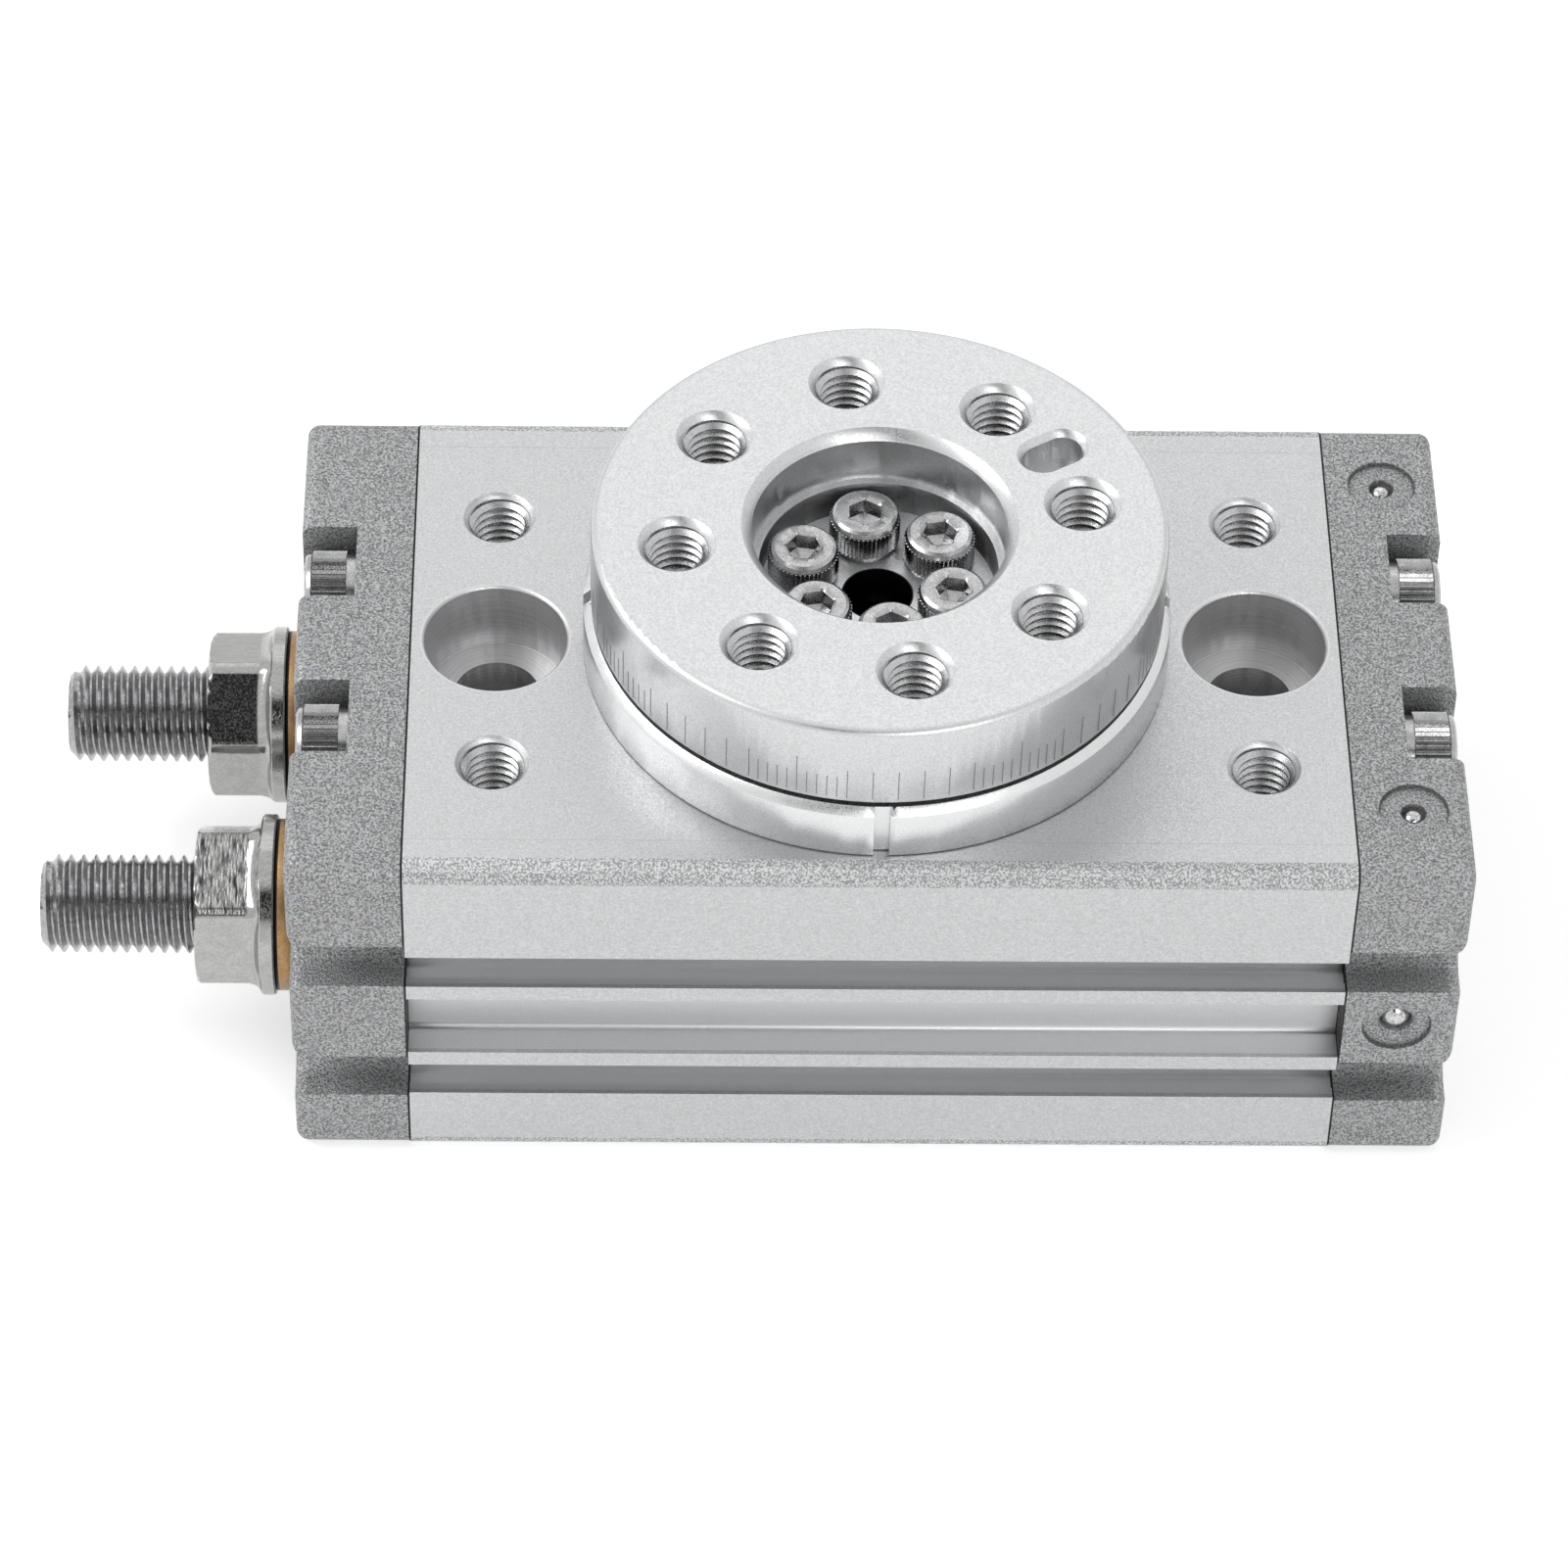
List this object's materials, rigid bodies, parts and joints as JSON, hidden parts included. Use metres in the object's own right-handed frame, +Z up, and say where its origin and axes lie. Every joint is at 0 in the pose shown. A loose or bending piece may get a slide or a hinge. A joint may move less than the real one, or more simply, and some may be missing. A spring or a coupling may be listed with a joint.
{
  "type": "rack-and-pinion rotary table actuator",
  "caption": "Compact pneumatic rotary table: rack pistons in an extruded aluminium body turn a hollow pinion and the table bolted on it, between stops set by adjusting bolts.",
  "frame": {"origin": "on the table's turning axis in the plane of the body's base", "axes": "+Z up along the table's axis, +X along the body towards the port cover, -Y towards the picture's front"},
  "size_m": [0.112, 0.05, 0.046],
  "materials": {
    "anodised_body": "satin",
    "table_metal": "satin",
    "retainer_metal": "satin",
    "cover_paint": "matte",
    "plated_screw": "gloss",
    "plated_nut": "gloss",
    "bolt_steel": "satin",
    "bearing_steel": "gloss",
    "ball_steel": "polished",
    "cage_brass": "satin",
    "shaft_steel": "satin",
    "rack_steel": "satin",
    "seal_rubber": "matte",
    "wear_ring_plastic": "matte",
    "magnet_ferrite": "matte",
    "washer_bronze": "satin"
  },
  "bodies": {
    "housing_unit": {"housing": "anodised_body", "adjuster_cover": "cover_paint", "port_cover": "cover_paint", "adjuster_cover_gasket": "seal_rubber", "port_cover_gasket": "seal_rubber", "adjuster_cover_screws": "plated_screw", "port_cover_screws": "plated_screw", "passage_balls": "ball_steel", "bearing_retainer": "retainer_metal", "retainer_screws": "bolt_steel", "upper_bearing_outer_ring": "bearing_steel", "lower_bearing_outer_ring": "bearing_steel", "lower_snap_ring": "bolt_steel", "front_seal_washer": "washer_bronze", "back_seal_washer": "washer_bronze"},
    "table_unit": {"table": "table_metal", "table_screws": "plated_screw", "table_dowel_pin": "bearing_steel", "pinion": "shaft_steel", "upper_bearing_inner_ring": "bearing_steel", "lower_bearing_inner_ring": "bearing_steel"},
    "upper_ball_set": {"upper_bearing_cage": "cage_brass", "upper_bearing_balls": "ball_steel"},
    "lower_ball_set": {"lower_bearing_cage": "cage_brass", "lower_bearing_balls": "ball_steel"},
    "front_piston": {"front_rack_piston": "rack_steel", "front_piston_seals": "seal_rubber", "front_wear_rings": "wear_ring_plastic", "front_piston_magnet": "magnet_ferrite"},
    "front_cushion": {"front_cushion_pad": "seal_rubber"},
    "front_bolt": {"front_adjusting_bolt": "bolt_steel"},
    "front_nut": {"front_lock_nut": "plated_nut"},
    "back_piston": {"back_rack_piston": "rack_steel", "back_piston_seals": "seal_rubber", "back_wear_rings": "wear_ring_plastic", "back_piston_magnet": "magnet_ferrite"},
    "back_cushion": {"back_cushion_pad": "seal_rubber"},
    "back_bolt": {"back_adjusting_bolt": "bolt_steel"},
    "back_nut": {"back_lock_nut": "plated_nut"}
  },
  "joints": [
    {"name": "table_turn", "type": "hinge", "parent": "housing_unit", "child": "table_unit", "pos_m": [0, 0, 0.046], "axis": [0, 0, 1], "range_deg": [-99, 91]},
    {"name": "upper_ball_set_turn", "type": "hinge", "parent": "housing_unit", "child": "upper_ball_set", "pos_m": [0, 0, 0.0295], "axis": [0, 0, 1], "range_deg": [-43, 40]},
    {"name": "lower_ball_set_turn", "type": "hinge", "parent": "housing_unit", "child": "lower_ball_set", "pos_m": [0, 0, 0.0036], "axis": [0, 0, 1], "range_deg": [-41, 38]},
    {"name": "front_rack_slide", "type": "slide", "parent": "housing_unit", "child": "front_piston", "axis": [1, 0, 0], "range_m": [-0.01038, 0.00954]},
    {"name": "front_cushion_travel", "type": "slide", "parent": "housing_unit", "child": "front_cushion", "axis": [-1, 0, 0], "range_m": [0, 0.005]},
    {"name": "front_bolt_turn", "type": "hinge", "parent": "front_cushion", "child": "front_bolt", "pos_m": [-0.06, -0.0105, 0.013], "axis": [-1, 0, 0], "range_deg": [-360, 2160]},
    {"name": "front_nut_turn", "type": "hinge", "parent": "housing_unit", "child": "front_nut", "pos_m": [-0.05, -0.0105, 0.013], "axis": [-1, 0, 0], "range_deg": [0, 90]},
    {"name": "back_rack_slide", "type": "slide", "parent": "housing_unit", "child": "back_piston", "axis": [1, 0, 0], "range_m": [-0.00954, 0.01038]},
    {"name": "back_cushion_travel", "type": "slide", "parent": "housing_unit", "child": "back_cushion", "axis": [-1, 0, 0], "range_m": [0, 0.005]},
    {"name": "back_bolt_turn", "type": "hinge", "parent": "back_cushion", "child": "back_bolt", "pos_m": [-0.06, 0.0105, 0.013], "axis": [-1, 0, 0], "range_deg": [-360, 2160]},
    {"name": "back_nut_turn", "type": "hinge", "parent": "housing_unit", "child": "back_nut", "pos_m": [-0.05, 0.0105, 0.013], "axis": [-1, 0, 0], "range_deg": [0, 90]}
  ],
  "couplings": [
    {"joint": "upper_ball_set_turn", "follows": "table_turn", "ratio": 0.43269},
    {"joint": "lower_ball_set_turn", "follows": "table_turn", "ratio": 0.40833},
    {"joint": "front_rack_slide", "follows": "table_turn", "m_per_rad": 0.006},
    {"joint": "front_bolt_turn", "follows": "front_cushion_travel", "rad_per_m": 6283.2},
    {"joint": "back_rack_slide", "follows": "table_turn", "m_per_rad": -0.006},
    {"joint": "back_bolt_turn", "follows": "back_cushion_travel", "rad_per_m": 6283.2}
  ]
}
